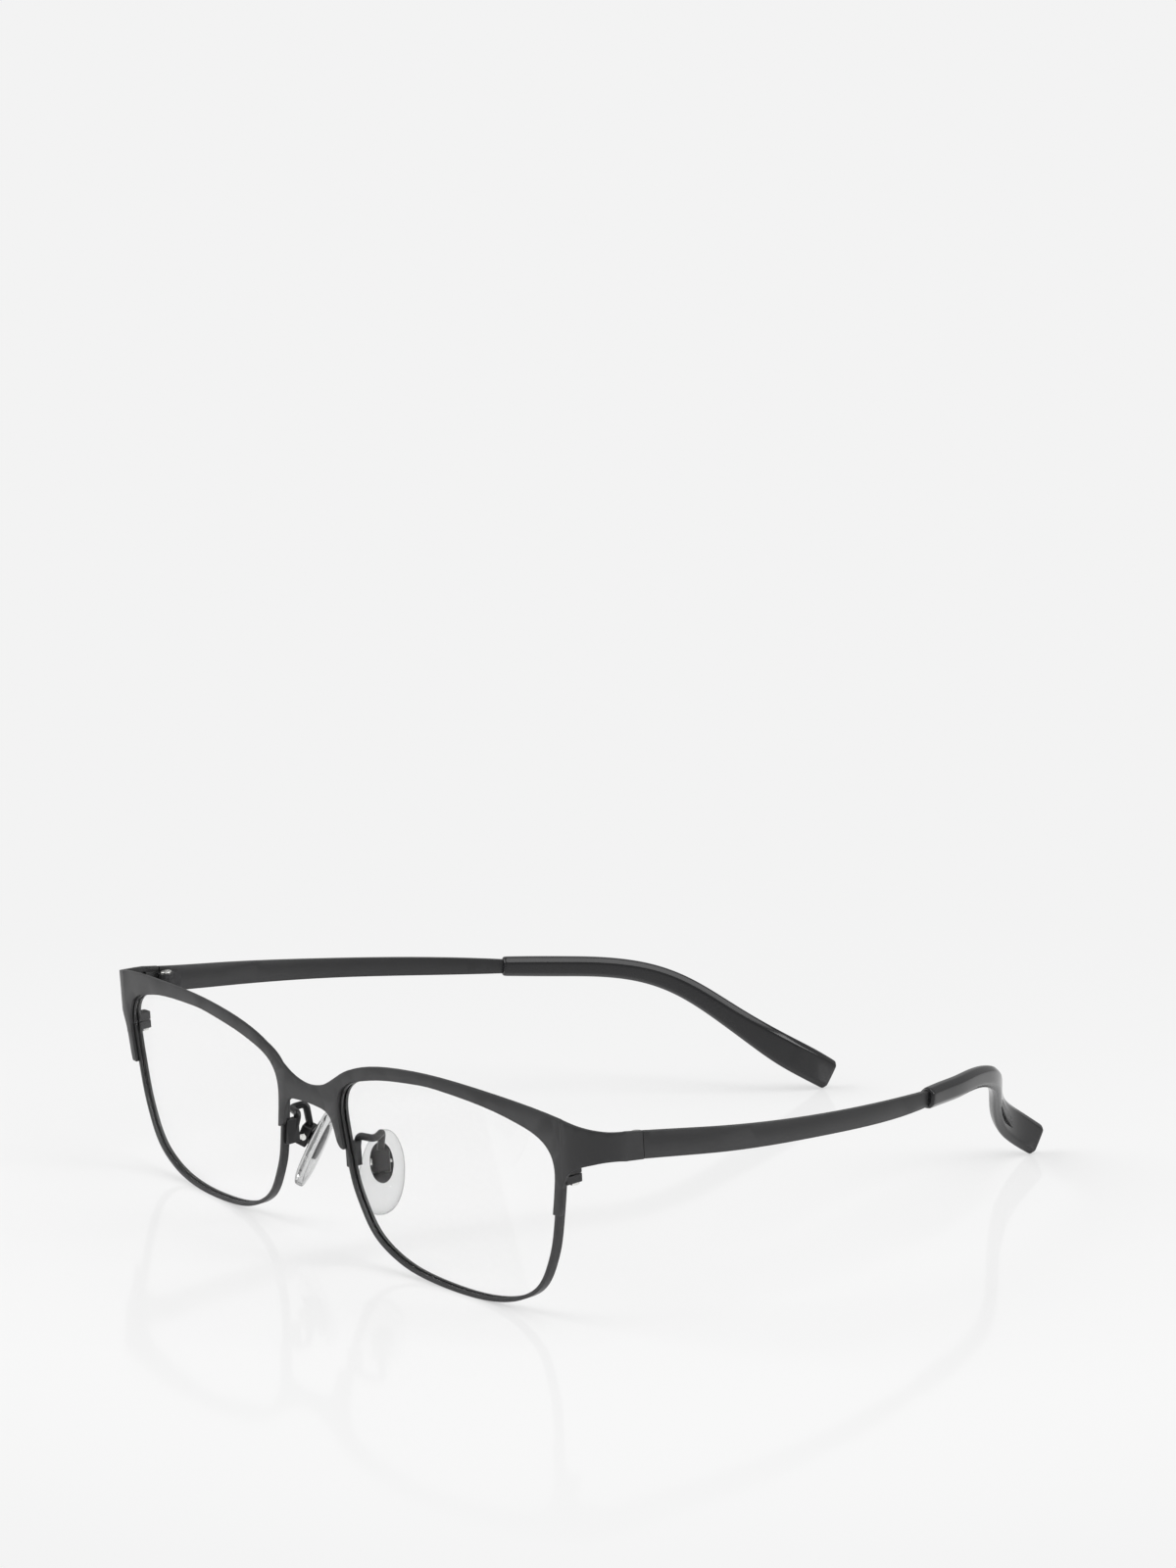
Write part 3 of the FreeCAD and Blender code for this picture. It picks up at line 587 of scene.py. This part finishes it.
class SPECS_OT_studio(bpy.types.Operator):
    """Make the floor, the lamps, the sky and the camera"""

    bl_idname = "specs.studio"
    bl_label = "Studio"

    def execute(self, context):
        studio = context.scene.studio_settings
        self.floor(studio)
        self.sky(context, studio)
        powers = {"key": studio.key_power, "fill": studio.fill_power, "top": studio.top_power}
        for name, power in powers.items():
            self.lamp(name, power, *LAMPS[name])
        camera = bpy.data.objects.new("camera", bpy.data.cameras.new("camera"))
        context.scene.collection.objects.link(camera)
        camera.location = studio.camera_place
        camera.rotation_euler = studio.camera_turn
        camera.data.lens = studio.lens_mm
        camera.data.sensor_width = 36.0
        context.scene.camera = camera
        context.scene.view_settings.view_transform = "Standard"
        return {"FINISHED"}

    def seen(self, tree):
        """1 for what the camera sees, also through clear pieces, and 0 in reflections."""
        path = node(tree, "ShaderNodeLightPath")
        direct = node(tree, "ShaderNodeMath", {0: path.outputs["Glossy Depth"], 1: 0.5},
                      operation="LESS_THAN")
        clear = node(tree, "ShaderNodeMath",
                     {0: path.outputs["Is Transmission Ray"], 1: direct.outputs[0]}, operation="MULTIPLY")
        return node(tree, "ShaderNodeMath", {0: path.outputs["Is Camera Ray"], 1: clear.outputs[0]},
                    operation="MAXIMUM")

    def floor(self, studio):
        """Pale floor that shows its own colour to the camera and keeps a faint shadow."""
        shape = bmesh.new()
        bmesh.ops.create_grid(shape, x_segments=1, y_segments=1, size=studio.floor_half)
        mesh = bpy.data.meshes.new("floor")
        shape.to_mesh(mesh)
        shape.free()
        ground = bpy.data.objects.new("floor", mesh)
        bpy.context.scene.collection.objects.link(ground)
        made, tree, shader = new_material("pale floor")
        shader.inputs["Base Color"].default_value = shade(studio.floor_colour, FLOOR_PALER)
        shader.inputs["Roughness"].default_value = FLOOR_ROUGHNESS
        place = node(tree, "ShaderNodeTexCoord")
        away = node(tree, "ShaderNodeVectorMath", {0: place.outputs["Object"]}, operation="LENGTH")
        near = node(tree, "ShaderNodeMapRange",
                    {"Value": away.outputs["Value"], "From Min": FLOOR_FADE[0], "From Max": FLOOR_FADE[1],
                     "To Min": studio.floor_share, "To Max": 1.0}, interpolation_type="SMOOTHSTEP")
        seen = self.seen(tree)
        share = node(tree, "ShaderNodeMath", {0: seen.outputs[0], 1: near.outputs[0]}, operation="MULTIPLY")
        level = node(tree, "ShaderNodeMapRange",
                     {"Value": near.outputs[0], "From Min": studio.floor_share, "From Max": 1.0,
                      "To Min": studio.floor_lift, "To Max": 1.0})
        glow = node(tree, "ShaderNodeEmission",
                    {"Color": shade(studio.floor_colour, 1.0), "Strength": level.outputs[0]})
        mixed = node(tree, "ShaderNodeMixShader",
                     {0: share.outputs[0], 1: shader.outputs[0], 2: glow.outputs[0]})
        tree.links.new(mixed.outputs[0], tree.nodes["Material Output"].inputs["Surface"])
        mesh.materials.append(made)

    def sky(self, context, studio):
        """Even pale light from all around, seen as the floor's colour."""
        world = bpy.data.worlds.new("sky")
        world.use_nodes = True
        context.scene.world = world
        tree = world.node_tree
        light = tree.nodes["Background"]
        light.inputs["Color"].default_value = (1.0, 1.0, 1.0, 1.0)
        light.inputs["Strength"].default_value = studio.world_strength
        backdrop = node(tree, "ShaderNodeBackground",
                        {"Color": shade(studio.floor_colour, 1.0), "Strength": 1.0})
        seen = self.seen(tree)
        mixed = node(tree, "ShaderNodeMixShader",
                     {0: seen.outputs[0], 1: light.outputs[0], 2: backdrop.outputs[0]})
        tree.links.new(mixed.outputs[0], tree.nodes["World Output"].inputs["Surface"])

    def lamp(self, name, power, place, size):
        """Square soft lamp aimed at the middle of the frame."""
        data = bpy.data.lights.new(name, "AREA")
        data.energy = power
        data.size = size
        made = bpy.data.objects.new(name, data)
        bpy.context.scene.collection.objects.link(made)
        made.location = place
        made.rotation_euler = (Vector(place) - LAMP_AIM).to_track_quat("Z", "Y").to_euler()


class SPECS_PT_panel(bpy.types.Panel):
    """The pieces and the studio, in the order in which they are made."""

    bl_idname = "SPECS_PT_panel"
    bl_label = "Spectacle frame"
    bl_space_type = "VIEW_3D"
    bl_region_type = "UI"
    bl_category = "Spectacles"

    def draw(self, context):
        for operator in OPERATORS:
            self.layout.operator(operator.bl_idname)
        for group in (getattr(context.scene, name) for name in GROUPS):
            for key in group.bl_rna.properties.keys():
                if key not in {"rna_type", "name"}:
                    self.layout.prop(group, key)


OPERATORS = (SPECS_OT_effects, SPECS_OT_finishes, SPECS_OT_tips, SPECS_OT_pads, SPECS_OT_studio)
GROUPS = {"frame_sizes": FrameSizes, "frame_finishes": FrameFinishes, "studio_settings": StudioSettings}


def register():
    for made in (*GROUPS.values(), *OPERATORS, SPECS_PT_panel):
        bpy.utils.register_class(made)
    for name, group in GROUPS.items():
        setattr(bpy.types.Scene, name, PointerProperty(type=group))


def unregister():
    for name in GROUPS:
        delattr(bpy.types.Scene, name)
    for made in reversed((*GROUPS.values(), *OPERATORS, SPECS_PT_panel)):
        bpy.utils.unregister_class(made)


def main():
    register()
    for operator in OPERATORS:
        space, name = operator.bl_idname.split(".")
        getattr(getattr(bpy.ops, space), name)()


if __name__ == "__main__":
    main()
